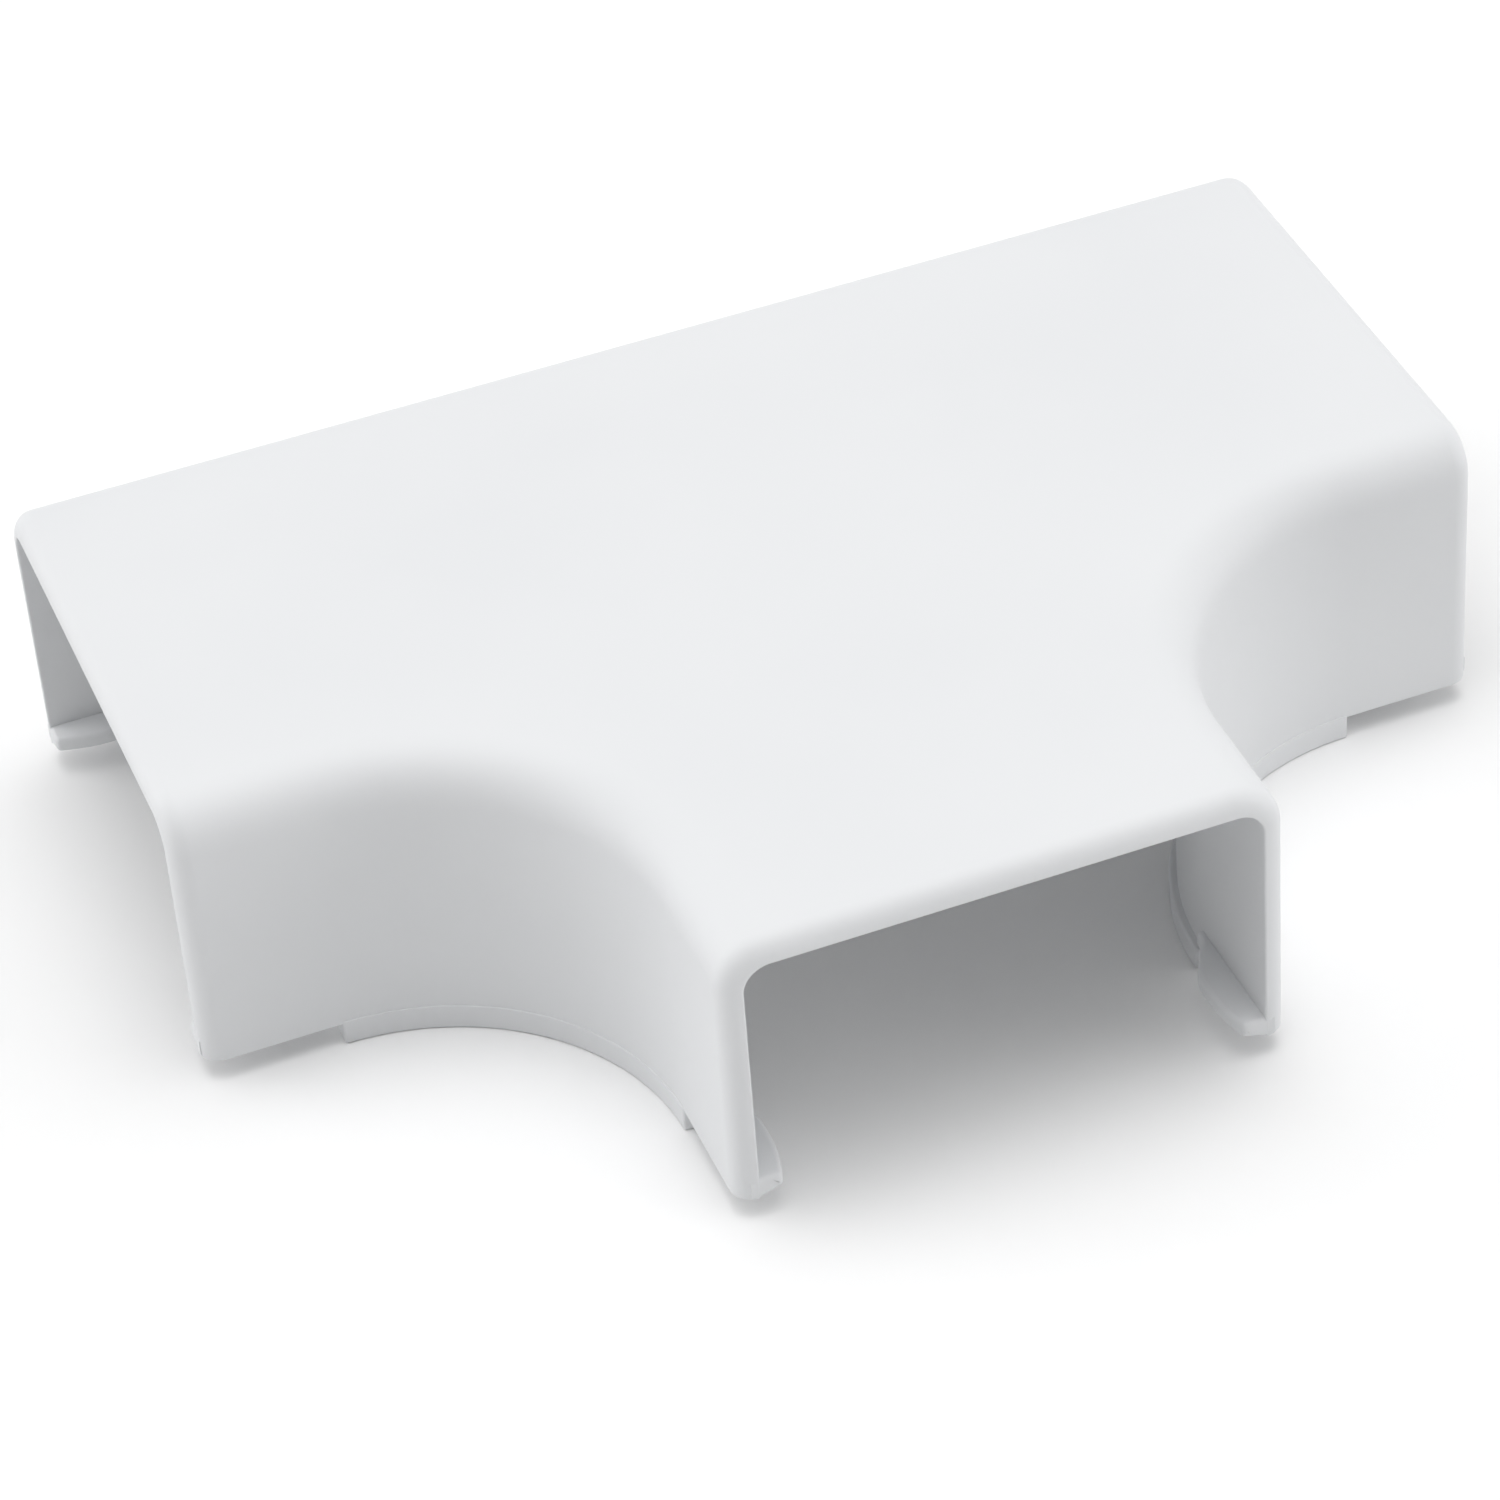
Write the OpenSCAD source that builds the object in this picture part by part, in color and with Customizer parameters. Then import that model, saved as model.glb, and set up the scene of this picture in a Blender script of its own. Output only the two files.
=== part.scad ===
// Surface-raceway tee cover: a one-piece clip-on moulding, open underneath, that covers
// the junction of three raceways on a wall. It is drawn as it would lie on a flat surface.
//
// Frame: the origin is the centre of the footprint on the mounting plane. The run lies
// along X, the branch leaves towards -Y, and +Z points away from the mounting plane.
// The moulding is divided into its named regions, which meet face to face.

/* [Raceway that the cover fits] */
// Outer width of the raceway
raceway_w = 31.8; // [25:0.1:50]
// Outer height of the raceway
raceway_h = 19.0; // [14:0.1:30]
// Clearance between the raceway and each side wall
side_gap = 0.2; // [0.1:0.05:0.5]
// Clearance between the raceway and the top panel
top_gap = 0.1; // [0.05:0.05:0.5]

/* [Shell] */
// Thickness of the panels and walls
wall_t = 1.5; // [1:0.1:2]
// Outside radius of the rounded edge between the top panel and the walls
edge_r = 3.2; // [2.2:0.1:3.4]
// Radius of the two concave corners, on the outer face
corner_r = 16; // [8:0.5:30]
// Length of the straight leg beyond each concave corner
leg_len = 8.7; // [8.6:0.1:20]

/* [Skirt] */
// Height of the skirt, which is the gap left under the straight legs
skirt_h = 1.6; // [0.8:0.1:2.5]
// Thickness of the skirt, which is flush with the outer face of the wall
skirt_t = 2.0; // [1.5:0.1:3]

/* [Snap lip] */
// How far the snap lip stands in from the inner face of the wall
lip_w = 2.0; // [1.7:0.1:2.5]
// Thickness of the snap lip
lip_t = 1.4; // [0.8:0.1:2]
// Width of the snap lip at an open end, where its lead-in starts
lip_end_w = 1.4; // [0.9:0.1:1.6]
// Length of the lead-in
lead_len = 3.2; // [1:0.1:4]
// Length over which the lip narrows again towards the skirt
taper_len = 4; // [1:0.1:4.5]
// Width of the lip where it ends beside the skirt
lip_tip_w = 0.4; // [0.2:0.1:1]

/* [Hidden] */
$fn = 96;
outer_w = raceway_w + 2 * side_gap + 2 * wall_t;
outer_h = raceway_h + top_gap + wall_t;
run_len = outer_w + 2 * (corner_r + leg_len);
depth = outer_w + corner_r + leg_len;
back_y = depth / 2;
front_y = back_y - outer_w;
end_y = -depth / 2;
mid_len = run_len - 2 * leg_len;
// The cutting shapes reach this far past what they cut
reach = 1;
pvc_white = "#eceeef";

// ---- Cross-sections: x runs inwards from the outer face of the wall, y is the height ----

// The upright wall and the rounded edge that carries it into the top panel
module wall_profile() {
    translate([0, skirt_h]) square([wall_t, outer_h - edge_r - skirt_h]);
    intersection() {
        translate([edge_r, outer_h - edge_r]) difference() {
            circle(r = edge_r);
            circle(r = edge_r - wall_t);
        }
        translate([0, outer_h - edge_r]) square(edge_r);
    }
}

// The skirt that reaches the mounting plane
module skirt_profile() {
    square([skirt_t, skirt_h]);
}

// ---- Places: local x runs inwards from an outer face, local y from an open end ----

module at_branch_left() {
    translate([-outer_w / 2, end_y, 0]) children();
}

module at_front_left() {
    translate([-run_len / 2, front_y, 0]) mirror([1, -1, 0]) children();
}

module at_back_left() {
    translate([-run_len / 2, back_y, 0]) rotate([0, 0, -90]) children();
}

module on_right() {
    mirror([1, 0, 0]) children();
}

// ---- Building blocks ----

// A straight stretch of a cross-section, from the local origin along y
module straight(length) {
    translate([0, length, 0]) rotate([90, 0, 0]) linear_extrude(height = length) children();
}

// A cross-section carried round the left concave corner
module round_corner() {
    translate([-outer_w / 2 - corner_r, front_y - corner_r, 0])
        rotate_extrude(angle = 90) translate([corner_r, 0]) children();
}

// The lip inside a leg's wall: a lead-in at the open end, and a taper at the other
module leg_lip() {
    translate([wall_t, 0, skirt_h]) linear_extrude(height = lip_t)
        polygon([
            [0, 0], [lip_end_w, 0], [lip_w, lead_len],
            [lip_w, leg_len - taper_len], [lip_tip_w, leg_len], [0, leg_len]
        ]);
}

// The circle that bounds the flat top at a concave corner
module corner_cut() {
    translate([-outer_w / 2 - corner_r, front_y - corner_r, outer_h - wall_t - reach])
        cylinder(r = corner_r + edge_r, h = wall_t + 2 * reach);
}

// ---- Regions of the moulding ----

module run_top_panel() {
    color(pvc_white) translate([-run_len / 2, front_y + edge_r, outer_h - wall_t])
        cube([run_len, outer_w - 2 * edge_r, wall_t]);
}

module branch_top_panel() {
    flare_w = outer_w + 2 * corner_r;
    color(pvc_white) difference() {
        union() {
            translate([-flare_w / 2, front_y - corner_r, outer_h - wall_t])
                cube([flare_w, corner_r + edge_r, wall_t]);
            translate([-outer_w / 2 + edge_r, end_y, outer_h - wall_t])
                cube([outer_w - 2 * edge_r, leg_len + corner_r, wall_t]);
        }
        corner_cut();
        on_right() corner_cut();
    }
}

module back_wall() {
    color(pvc_white) at_back_left() straight(run_len) wall_profile();
}

module front_wall_left() {
    color(pvc_white) at_front_left() straight(leg_len) wall_profile();
}

module front_wall_right() {
    on_right() front_wall_left();
}

module corner_wall_left() {
    color(pvc_white) round_corner() wall_profile();
}

module corner_wall_right() {
    on_right() corner_wall_left();
}

module branch_wall_left() {
    color(pvc_white) at_branch_left() straight(leg_len) wall_profile();
}

module branch_wall_right() {
    on_right() branch_wall_left();
}

module back_skirt() {
    color(pvc_white) at_back_left() translate([0, leg_len, 0]) straight(mid_len) skirt_profile();
}

module corner_skirt_left() {
    color(pvc_white) round_corner() skirt_profile();
}

module corner_skirt_right() {
    on_right() corner_skirt_left();
}

module snap_lip_back_left() {
    color(pvc_white) at_back_left() leg_lip();
}

module snap_lip_back_right() {
    on_right() snap_lip_back_left();
}

module snap_lip_front_left() {
    color(pvc_white) at_front_left() leg_lip();
}

module snap_lip_front_right() {
    on_right() snap_lip_front_left();
}

module snap_lip_branch_left() {
    color(pvc_white) at_branch_left() leg_lip();
}

module snap_lip_branch_right() {
    on_right() snap_lip_branch_left();
}

run_top_panel();
branch_top_panel();
back_wall();
front_wall_left();
front_wall_right();
corner_wall_left();
corner_wall_right();
branch_wall_left();
branch_wall_right();
back_skirt();
corner_skirt_left();
corner_skirt_right();
snap_lip_back_left();
snap_lip_back_right();
snap_lip_front_left();
snap_lip_front_right();
snap_lip_branch_left();
snap_lip_branch_right();
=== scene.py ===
"""Looks of the surface-raceway tee cover: one smooth white PVC moulding on a pale floor.

The shell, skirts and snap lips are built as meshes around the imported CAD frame. Places and overall
sizes come from the boxes of the CAD nodes. The named values below are what a box can't tell: the
lengths along a lip, and the details that the CAD leaves square, such as the rims of the open ends.

The run lies along X, the branch leaves towards -Y, and the floor is at Z = 0. Sections are outlines
of (depth, height), where depth runs inwards from a wall's outer face. A "place" function takes
(along, depth, height), where along runs the length of a wall, to a point in space.
"""
import math

import bmesh
import bpy
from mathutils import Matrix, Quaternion, Vector


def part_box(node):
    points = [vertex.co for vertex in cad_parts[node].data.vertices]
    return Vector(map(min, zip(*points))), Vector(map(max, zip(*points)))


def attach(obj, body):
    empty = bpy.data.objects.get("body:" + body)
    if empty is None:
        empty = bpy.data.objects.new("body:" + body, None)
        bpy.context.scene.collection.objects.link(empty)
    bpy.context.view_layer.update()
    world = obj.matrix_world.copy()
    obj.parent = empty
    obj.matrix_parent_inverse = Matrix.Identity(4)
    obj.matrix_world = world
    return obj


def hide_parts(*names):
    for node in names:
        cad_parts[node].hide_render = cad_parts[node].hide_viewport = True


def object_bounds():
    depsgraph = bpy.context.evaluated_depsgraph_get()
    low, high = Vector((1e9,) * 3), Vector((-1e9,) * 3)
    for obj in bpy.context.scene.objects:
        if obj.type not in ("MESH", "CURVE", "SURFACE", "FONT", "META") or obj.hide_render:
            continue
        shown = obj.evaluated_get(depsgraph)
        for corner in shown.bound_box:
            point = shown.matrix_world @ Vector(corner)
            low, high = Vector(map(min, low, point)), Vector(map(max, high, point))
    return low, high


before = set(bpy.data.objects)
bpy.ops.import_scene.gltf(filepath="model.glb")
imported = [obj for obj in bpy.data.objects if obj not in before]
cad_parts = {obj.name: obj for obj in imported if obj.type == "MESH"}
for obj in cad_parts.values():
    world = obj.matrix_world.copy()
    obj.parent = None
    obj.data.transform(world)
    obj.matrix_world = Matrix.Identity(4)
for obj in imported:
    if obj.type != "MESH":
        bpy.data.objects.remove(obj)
cad_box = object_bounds()

MM = 0.001

# ---- Sizes read from the CAD ----
low, high = cad_box
run_half = high.x       # half the length of the run
back_y = high.y         # outer face of the back wall
end_y = low.y           # open end of the branch
top_z = high.z          # top face
panel_low, panel_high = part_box("run_top_panel")
edge_r = back_y - panel_high.y      # outer radius of the rounded top edge
wall_t = top_z - panel_low.z        # thickness of the panels and walls
branch_half = -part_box("branch_wall_left")[0].x  # half the width of the branch
front_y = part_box("front_wall_left")[0].y        # outer face of the front walls
corner_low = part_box("corner_wall_left")[0]
arc_x, arc_y, wall_z = corner_low   # centre of the left concave corner; foot of the walls
corner_r = -branch_half - arc_x     # outer radius of the concave corners
skirt_depth = back_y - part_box("back_skirt")[0].y
lip_low, lip_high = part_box("snap_lip_branch_left")
leg_len = lip_high.y - lip_low.y
lip_w = lip_high.x - lip_low.x

# ---- Lengths along a lip, as the CAD source has them ----
lip_end_w = 1.4 * MM    # width of a lip at the open end
lead_len = 3.2 * MM     # length of its lead-in
taper_len = 4.0 * MM    # length over which it narrows again
lip_tip_w = 0.4 * MM    # width where it ends beside the skirt

# ---- Finer detail that the CAD leaves square ----
rim_r = 1.35 * MM       # outer edge of an open end
inner_rim_r = 0.12 * MM  # inner edge of an open end
foot_r = 0.12 * MM      # lower edges of the walls
skirt_r = 0.2 * MM      # lower edges and ends of the skirts
step_r = 0.08 * MM      # upper edge of the skirts
proud = 0.08 * MM       # how far the corner skirts stand out from the wall
lip_top_r = 0.35 * MM   # inner top edge of the lips
lip_foot_r = 0.15 * MM  # inner lower edge of the lips
lip_end_r = 0.28 * MM   # end edges of the lips
lip_edge_t = 1.0 * MM   # thickness of a lip's inner edge, above its sloping underside
root = 0.6 * MM         # how deep the lips are sunk into the wall
hair = 0.005 * MM       # keeps a sunk piece's faces off the wall's own faces

# ---- Mesh ----
FILLET_STEPS = 16       # faces round the top edge
ARC_STEPS = 48          # faces round a concave corner, and along a skirt
RIM_STEPS = 12          # faces round the rim of an open end
FOOT_STEPS = 3          # faces round the smallest edges
EDGE_STEPS = 6          # faces round the edges of skirts and lips
LIP_STEPS = 20          # faces along a lip
SHARP_ANGLE = 40        # edges that turn more than this many degrees stay crisp
SAME_POINT = 1e-7       # points closer than this, in metres, are one vertex
TOO_SHORT = 1e-8        # edges shorter than this, in metres, are removed

# ---- Finish of the PVC ----
MOTTLE_SCALE = 45.0     # per metre: soft patches about 20 mm across
MOTTLE_DETAIL = 3.0
MOTTLE_RANGE = (0.3, 0.7)
MOTTLE_COLOURS = ((0.774, 0.784, 0.798, 1), (0.792, 0.801, 0.813, 1))
ROUGHNESS = (0.48, 0.56)
SPECULAR = 0.35
PVC_IOR = 1.5
GRAIN_SCALE = 2500.0    # per metre: specks about 0.4 mm across
GRAIN_DETAIL = 2.0
GRAIN_STRENGTH = 0.06
GRAIN_HEIGHT = 0.05 * MM

# ---- Studio ----
FLOOR_HALF = 3.0        # half the side of the floor, in metres
PAPER_COLOUR = (0.96, 0.96, 0.96, 1)
LIGHT_LOBES = [         # (azimuth, elevation, sharpness, strength); angles in degrees
    (0, 90, 6, 1.85),   # wide overhead softbox
    (0, 90, 20, 2.7),   # its brighter middle
    (240, 20, 6, 2.1),  # window light from the back left
    (120, 20, 6, 0.8),  # fill from the back right
    (65, 15, 20, 3.2),  # low fill from the front right
    (0, 50, 6, 0.2),    # weak front fill
]
CAMERA_ANGLES = (-18.453, 39.438, -4.66)    # azimuth, elevation and roll, in degrees
CAMERA_DISTANCE = 340.0 * MM
CAMERA_TARGET = (-5.18 * MM, -1.75 * MM)    # where it looks, at half the cover's height
CAMERA_LENS = 133.52    # focal length in mm, on a sensor this wide:
CAMERA_SENSOR = 36.0


def arc(centre, radius, start, end, steps):
    """Points on an arc in a plane; angles in degrees."""
    angles = [math.radians(start + (end - start) * i / steps) for i in range(steps + 1)]
    return [(centre[0] + radius * math.cos(a), centre[1] + radius * math.sin(a)) for a in angles]


def wall_section(outer_d=0.0, inner_d=wall_t):
    """Section of one wall between these depths, with the rounded edge that carries it into the
    flat top: down its outer side, round the foot and up its inner side."""
    turn = (edge_r, top_z - edge_r)
    outer = arc(turn, edge_r - outer_d, 90, 180, FILLET_STEPS)
    r = min(foot_r, (inner_d - outer_d) / 2)
    foot_out = arc((outer_d + r, wall_z + r), r, 180, 270, FOOT_STEPS)
    foot_in = arc((inner_d - r, wall_z + r), r, 270, 360, FOOT_STEPS)
    inner = arc(turn, edge_r - inner_d, 180, 90, FILLET_STEPS)
    return outer + foot_out + foot_in + inner


def round_off(distance, radius):
    """How far a face has rounded in, this far from the end that it rounds into."""
    if distance >= radius:
        return 0.0
    return radius - math.sqrt(radius ** 2 - (radius - distance) ** 2)


def rim_depths(distance):
    """Depths of the outer and inner faces of a wall, this far from its open end."""
    return round_off(distance, rim_r), wall_t - round_off(distance, inner_rim_r)


def rounding_stations(radius, steps):
    """Distances from an end, from its rounding's start to the end itself."""
    return [radius * (1 - math.sin(math.radians(90 * i / steps))) for i in range(steps + 1)]


class Sheet:
    """Collects faces from points in space; points in the same place become one vertex."""

    def __init__(self):
        self.bm = bmesh.new()

    def face(self, points):
        self.bm.faces.new([self.bm.verts.new(p) for p in points])

    def bridge(self, first, second, closed=False):
        """Quads between two rows of the same number of points."""
        count = len(first)
        for i in range(count if closed else count - 1):
            j = (i + 1) % count
            self.face([first[i], first[j], second[j], second[i]])

    def make(self, name):
        """Makes the object, smooth but for its crisp edges."""
        bmesh.ops.remove_doubles(self.bm, verts=self.bm.verts, dist=SAME_POINT)
        bmesh.ops.dissolve_degenerate(self.bm, edges=self.bm.edges, dist=TOO_SHORT)
        bmesh.ops.recalc_face_normals(self.bm, faces=self.bm.faces)
        mesh = bpy.data.meshes.new(name)
        self.bm.to_mesh(mesh)
        self.bm.free()
        for polygon in mesh.polygons:
            polygon.use_smooth = True
        mesh.set_sharp_from_angle(angle=math.radians(SHARP_ANGLE))
        piece = bpy.data.objects.new(name, mesh)
        bpy.context.scene.collection.objects.link(piece)
        even = piece.modifiers.new("even_shading", "WEIGHTED_NORMAL")
        even.keep_sharp = True
        even.weight = 100   # large faces outweigh the small ones beside them
        return piece


def leg(sheet, place, start, end, width):
    """Adds a straight leg of the shell, from start to its open, rounded end."""
    inwards = math.copysign(1.0, start - end)

    def ring(distance):
        """The near and far halves of the leg's outline, this far from its open end."""
        half = wall_section(*rim_depths(distance))
        along = end + inwards * distance
        near = [place(along, d, z) for d, z in half]
        far = [place(along, width - d, z) for d, z in reversed(half)]
        return near, far

    rings = [ring(abs(start - end))] + [ring(s) for s in rounding_stations(rim_r, RIM_STEPS)]
    for (near_a, far_a), (near_b, far_b) in zip(rings, rings[1:]):
        sheet.bridge(near_a + far_a, near_b + far_b, closed=True)
    for half in rings[-1]:
        cap_half(sheet, half)
    near, far = rings[-1]
    sheet.face([near[0], far[-1], far[0], near[-1]])


def cap_half(sheet, half):
    """Closes the end face of one wall of a leg, pairing its outer points with its inner ones."""
    last = len(half) - 1
    for i in range(FILLET_STEPS + 1):
        sheet.face([half[i], half[i + 1], half[last - i - 1], half[last - i]])
    sheet.face(half[FILLET_STEPS + 1:last - FILLET_STEPS])


def corner_columns():
    """Where the flat top meets the left concave corner, as (x, y), from the leg to the branch."""
    return arc((arc_x, arc_y), corner_r + edge_r, 90, 0, ARC_STEPS)


def corner_point(side, angle, d, z):
    """A point of a concave corner; side is 1 for the left one and -1 for its mirror image."""
    return (side * (arc_x + (corner_r + d) * math.cos(angle)),
            arc_y + (corner_r + d) * math.sin(angle), z)


def build_shell():
    """The panels and walls, as one continuous thin sheet with rounded rims."""
    sheet = Sheet()
    width = 2 * branch_half
    leg(sheet, lambda a, d, z: (a, back_y - d, z), arc_x, -run_half, width)
    leg(sheet, lambda a, d, z: (a, back_y - d, z), -arc_x, run_half, width)
    leg(sheet, lambda a, d, z: (d - branch_half, a, z), arc_y, end_y, width)

    # The back wall between the legs, split where the flat top's columns meet it
    half = wall_section()
    left = corner_columns()
    columns = left + [(-x, y) for x, y in reversed(left)]
    rows = [[(x, back_y - d, z) for d, z in half] for x, _ in columns]
    for first, second in zip(rows, rows[1:]):
        sheet.bridge(first, second)

    # The concave corner walls
    for side in (1, -1):
        rows = []
        for i in range(ARC_STEPS + 1):
            angle = math.radians(90 * i / ARC_STEPS)
            rows.append([corner_point(side, angle, d, z) for d, z in half])
        for first, second in zip(rows, rows[1:]):
            sheet.bridge(first, second)

    # The outer and inner faces of the flat top between the legs
    back = back_y - edge_r
    for z in (top_z, top_z - wall_t):
        for (xa, ya), (xb, yb) in zip(columns, columns[1:]):
            sheet.face([(xa, ya, z), (xb, yb, z), (xb, back, z), (xa, back, z)])
    return sheet.make("cover_shell")


def sweep(name, rows):
    """A closed solid through rows of the same outline, with flat ends."""
    sheet = Sheet()
    for first, second in zip(rows, rows[1:]):
        sheet.bridge(first, second, closed=True)
    sheet.face(rows[0])
    sheet.face(list(reversed(rows[-1])))
    return sheet.make(name)


def skirt_section(stand_out, squeeze):
    """Section of a skirt that stands out this far from the wall. squeeze draws in its sides and
    its foot, where the skirt rounds into its end. Its top is sunk into the wall."""
    outer, inner = squeeze - stand_out, skirt_depth - squeeze
    step_z = wall_z + foot_r
    foot_out = arc((outer + skirt_r, squeeze + skirt_r), skirt_r, 180, 270, EDGE_STEPS)
    foot_in = arc((inner - skirt_r, squeeze + skirt_r), skirt_r, 270, 360, EDGE_STEPS)
    edge_in = arc((inner - skirt_r, wall_z - skirt_r), skirt_r, 0, 90, EDGE_STEPS)
    step = arc((outer + step_r, step_z), step_r, 90, 180, FOOT_STEPS)
    sunk = [(wall_t, wall_z), (wall_t - foot_r, step_z + step_r)]
    return foot_out + foot_in + edge_in + sunk + step


def skirt_rows(place, length, stand_out):
    """Rows of points along a skirt of this length, rounded at both ends."""
    start = [(d, round_off(d, skirt_r)) for d in reversed(rounding_stations(skirt_r, EDGE_STEPS))]
    middle = [(length * i / ARC_STEPS, 0.0) for i in range(1, ARC_STEPS)]
    finish = [(length - along, squeeze) for along, squeeze in reversed(start)]
    return [[place(along, d, z) for d, z in skirt_section(stand_out, squeeze)]
            for along, squeeze in start + middle + finish]


def build_skirts():
    """The three skirts, each with the name of the CAD node that it stands for."""
    def back_place(along, d, z):
        return (arc_x + along, back_y - d, z)

    def corner_place(side):
        return lambda along, d, z: corner_point(side, along / corner_r, d, z)

    quarter = corner_r * math.pi / 2
    back = sweep("skirt_back", skirt_rows(back_place, -2 * arc_x, -hair))
    left = sweep("skirt_corner_left", skirt_rows(corner_place(1), quarter, proud))
    right = sweep("skirt_corner_right", skirt_rows(corner_place(-1), quarter, proud))
    return [(back, "back_skirt"), (left, "corner_skirt_left"), (right, "corner_skirt_right")]


def lip_width(along):
    """Width of a lip, this far from its open end: out to its full width, then in to its tip."""
    if along < lead_len:
        return lip_end_w + (lip_w - lip_end_w) * math.sin(math.pi / 2 * along / lead_len)
    narrowed = max(0.0, (along - leg_len + taper_len) / taper_len)
    return lip_tip_w + (lip_w - lip_tip_w) * (1 + math.cos(math.pi * narrowed)) / 2


def lip_section(along):
    """Section of a lip, with its depths taken from the wall's inner face, this far from its open
    end. Its root is sunk into the wall, and its underside slopes up to its inner edge."""
    squeeze = round_off(along, lip_end_r)
    width = lip_width(along) - squeeze
    low_z, high_z = lip_low.z + hair + squeeze, lip_high.z - squeeze
    edge_z = lip_high.z - lip_edge_t + squeeze
    tilt = math.degrees(math.atan2(edge_z - low_z, width))
    foot = arc((width - lip_foot_r, edge_z + lip_foot_r), lip_foot_r, 270 + tilt, 360, EDGE_STEPS)
    top_r = min(lip_top_r, width)
    top = arc((width - top_r, high_z - top_r), top_r, 0, 90, EDGE_STEPS)
    return [(-root, low_z), (0.0, low_z)] + foot + top + [(-root, high_z)]


def build_lips():
    """The six snap lips, each with the name of the CAD node that it stands for."""
    places = {
        "back": lambda s: lambda a, d, z: (s * (run_half - a), back_y - wall_t - d, z),
        "front": lambda s: lambda a, d, z: (s * (run_half - a), front_y + wall_t + d, z),
        "branch": lambda s: lambda a, d, z: (s * (branch_half - wall_t - d), end_y + a, z),
    }
    stations = list(reversed(rounding_stations(lip_end_r, EDGE_STEPS)))
    stations += [lip_end_r + (leg_len - lip_end_r) * i / LIP_STEPS for i in range(1, LIP_STEPS + 1)]
    pieces = []
    for where, side_place in places.items():
        for side, word in ((-1, "left"), (1, "right")):
            place = side_place(side)
            rows = [[place(max(a, hair), d, z) for d, z in lip_section(a)] for a in stations]
            name = where + "_" + word
            pieces.append((sweep("lip_" + name, rows), "snap_lip_" + name))
    return pieces


def pvc_material():
    """Satin white PVC: a faint mottle in the colour and gloss, and the mould's fine texture."""
    material = bpy.data.materials.new("white_pvc")
    material.use_nodes = True
    tree = material.node_tree
    nodes, links = tree.nodes, tree.links
    shader = nodes["Principled BSDF"]
    place = nodes.new("ShaderNodeTexCoord")

    mottle = nodes.new("ShaderNodeTexNoise")
    mottle.inputs["Scale"].default_value = MOTTLE_SCALE
    mottle.inputs["Detail"].default_value = MOTTLE_DETAIL
    links.new(place.outputs["Object"], mottle.inputs["Vector"])
    tint = nodes.new("ShaderNodeValToRGB")
    for stop, position, colour in zip(tint.color_ramp.elements, MOTTLE_RANGE, MOTTLE_COLOURS):
        stop.position = position
        stop.color = colour
    links.new(mottle.outputs["Fac"], tint.inputs["Fac"])
    links.new(tint.outputs["Color"], shader.inputs["Base Color"])

    gloss = nodes.new("ShaderNodeMapRange")
    gloss.inputs["To Min"].default_value = ROUGHNESS[0]
    gloss.inputs["To Max"].default_value = ROUGHNESS[1]
    links.new(mottle.outputs["Fac"], gloss.inputs["Value"])
    links.new(gloss.outputs["Result"], shader.inputs["Roughness"])

    grain = nodes.new("ShaderNodeTexNoise")
    grain.inputs["Scale"].default_value = GRAIN_SCALE
    grain.inputs["Detail"].default_value = GRAIN_DETAIL
    links.new(place.outputs["Object"], grain.inputs["Vector"])
    bump = nodes.new("ShaderNodeBump")
    bump.inputs["Strength"].default_value = GRAIN_STRENGTH
    bump.inputs["Distance"].default_value = GRAIN_HEIGHT
    links.new(grain.outputs["Fac"], bump.inputs["Height"])
    links.new(bump.outputs["Normal"], shader.inputs["Normal"])
    shader.inputs["IOR"].default_value = PVC_IOR
    shader.inputs["Specular IOR Level"].default_value = SPECULAR
    return material


def build_floor():
    """A pale seamless sheet of paper that the cover lies on."""
    sheet = Sheet()
    corners = ((-1, -1), (1, -1), (1, 1), (-1, 1))
    sheet.face([(x * FLOOR_HALF, y * FLOOR_HALF, 0.0) for x, y in corners])
    floor = sheet.make("studio_floor")
    paper = bpy.data.materials.new("white_paper")
    paper.use_nodes = True
    shader = paper.node_tree.nodes["Principled BSDF"]
    shader.inputs["Base Color"].default_value = PAPER_COLOUR
    shader.inputs["Roughness"].default_value = 1.0
    shader.inputs["Specular IOR Level"].default_value = 0.0
    floor.data.materials.append(paper)


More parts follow.
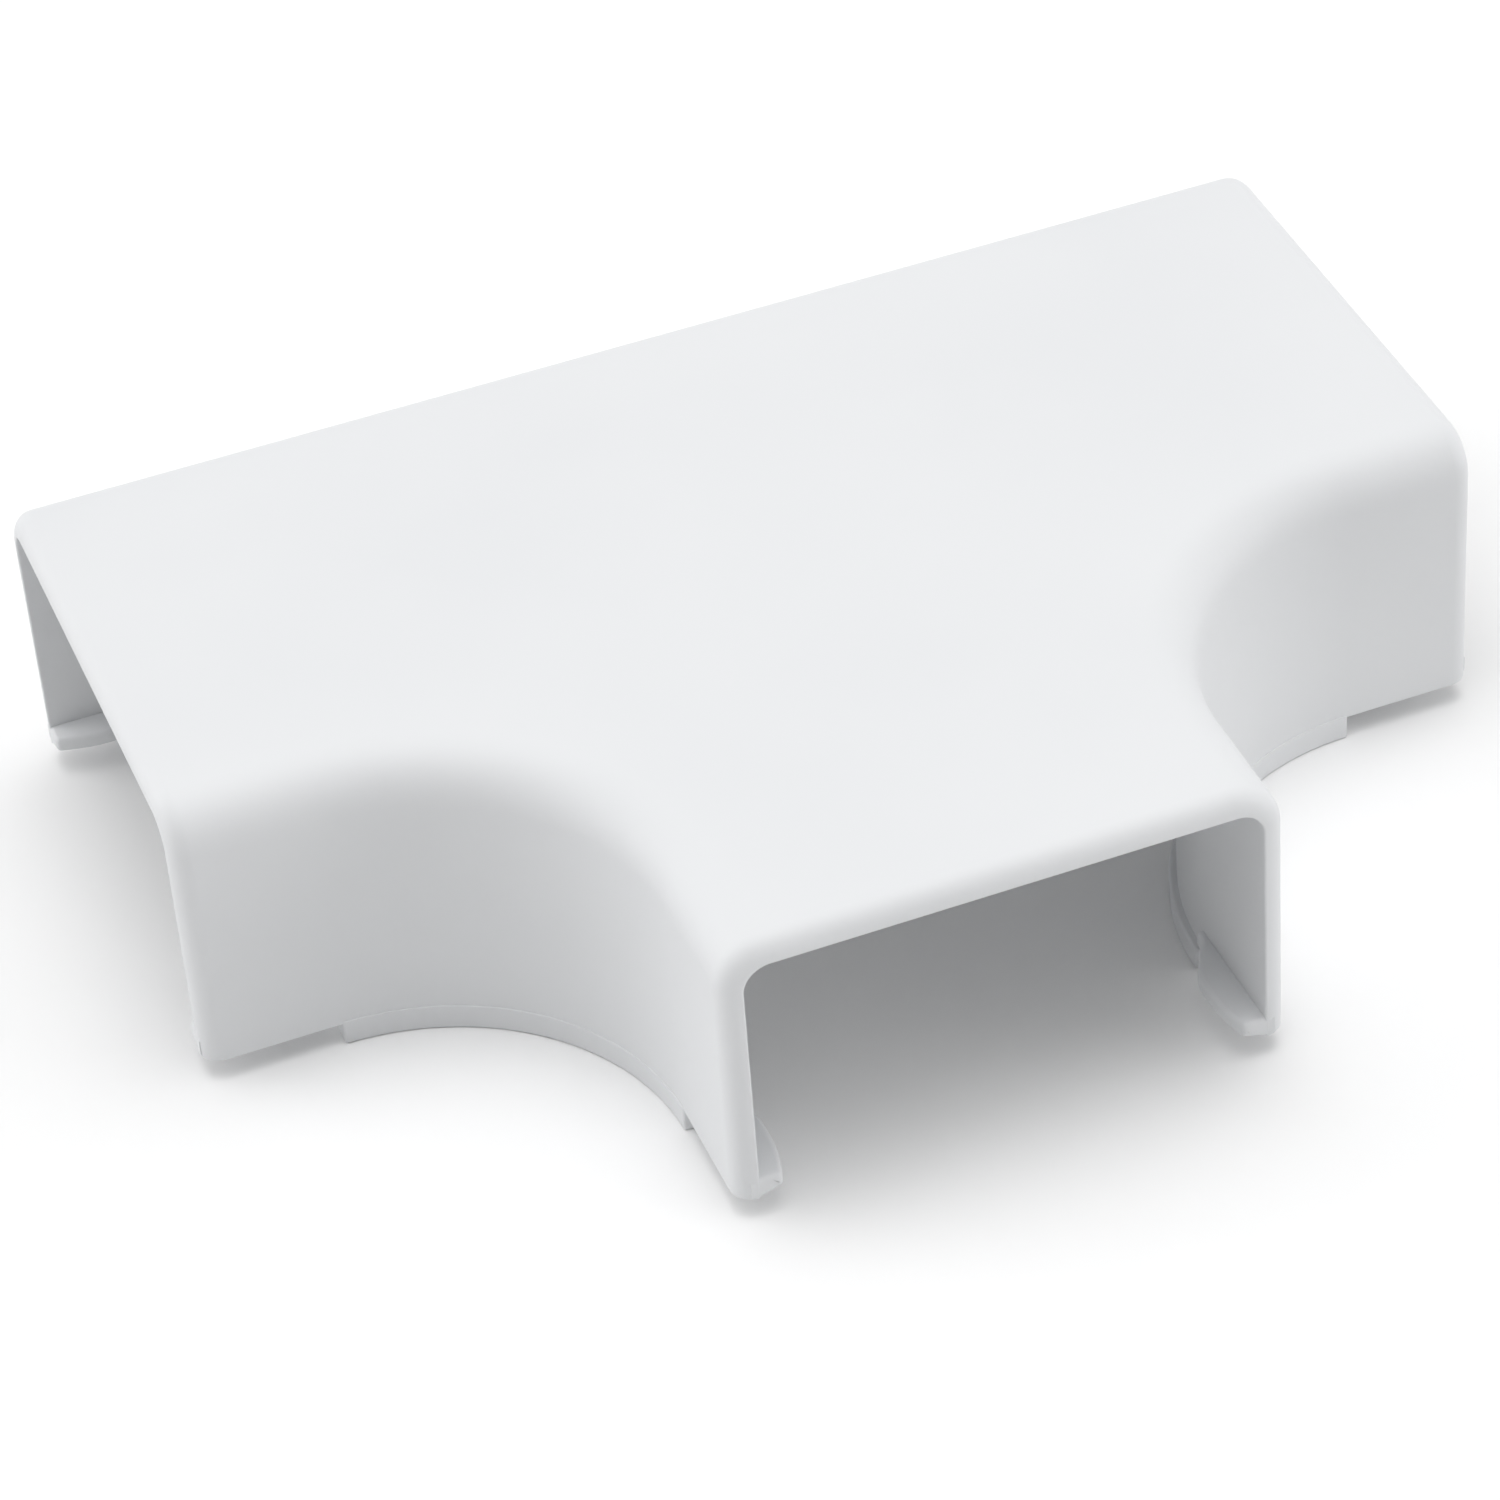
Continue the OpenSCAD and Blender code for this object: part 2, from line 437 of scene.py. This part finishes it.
def build_studio_light():
    """Soft light all round: a sum of wide, smooth lobes, each brightest along its direction.
    Azimuth 0 is the front (-Y) and 90 the right (+X)."""
    world = bpy.data.worlds.new("studio")
    bpy.context.scene.world = world
    world.use_nodes = True
    tree = world.node_tree
    nodes, links = tree.nodes, tree.links
    direction = nodes.new("ShaderNodeTexCoord").outputs["Generated"]

    def math_node(operation, first, second):
        """The output of a Math node; each input is a number or another node's output."""
        node = nodes.new("ShaderNodeMath")
        node.operation = operation
        for socket, value in zip(node.inputs, (first, second)):
            if isinstance(value, (int, float)):
                socket.default_value = value
            else:
                links.new(value, socket)
        return node.outputs[0]

    total = None
    for azimuth, elevation, sharpness, strength in LIGHT_LOBES:
        across, up = math.radians(azimuth), math.radians(elevation)
        facing = nodes.new("ShaderNodeVectorMath")
        facing.operation = "DOT_PRODUCT"
        links.new(direction, facing.inputs[0])
        facing.inputs[1].default_value = (math.sin(across) * math.cos(up),
                                          -math.cos(across) * math.cos(up), math.sin(up))
        falloff = math_node("POWER", math_node("MAXIMUM", facing.outputs["Value"], 0.0), sharpness)
        lobe = math_node("MULTIPLY", falloff, strength)
        total = lobe if total is None else math_node("ADD", total, lobe)
    background = nodes["Background"]
    background.inputs["Color"].default_value = (1.0, 1.0, 1.0, 1)
    links.new(total, background.inputs["Strength"])


def add_camera():
    """The camera looks down at the cover from its front left."""
    azimuth, elevation, roll = [math.radians(angle) for angle in CAMERA_ANGLES]
    target = Vector((*CAMERA_TARGET, top_z / 2))
    back = Vector((math.sin(azimuth) * math.cos(elevation),
                   -math.cos(azimuth) * math.cos(elevation), math.sin(elevation)))
    data = bpy.data.cameras.new("camera")
    data.lens = CAMERA_LENS
    data.sensor_width = CAMERA_SENSOR
    camera = bpy.data.objects.new("camera", data)
    camera.location = target + back * CAMERA_DISTANCE
    camera.rotation_mode = "QUATERNION"
    camera.rotation_quaternion = (-back).to_track_quat("-Z", "Y") @ Quaternion((0, 0, 1), roll)
    bpy.context.scene.collection.objects.link(camera)
    bpy.context.scene.camera = camera


shell = build_shell()
pieces = [(shell, "run_top_panel", "branch_top_panel", "back_wall", "front_wall_left",
           "front_wall_right", "corner_wall_left", "corner_wall_right", "branch_wall_left",
           "branch_wall_right")] + build_skirts() + build_lips()
pvc = pvc_material()
for piece, *nodes_replaced in pieces:
    piece.data.materials.append(pvc)
    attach(piece, "root")
    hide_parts(*nodes_replaced)

build_floor()
build_studio_light()
add_camera()
bpy.context.scene.view_settings.view_transform = "Standard"
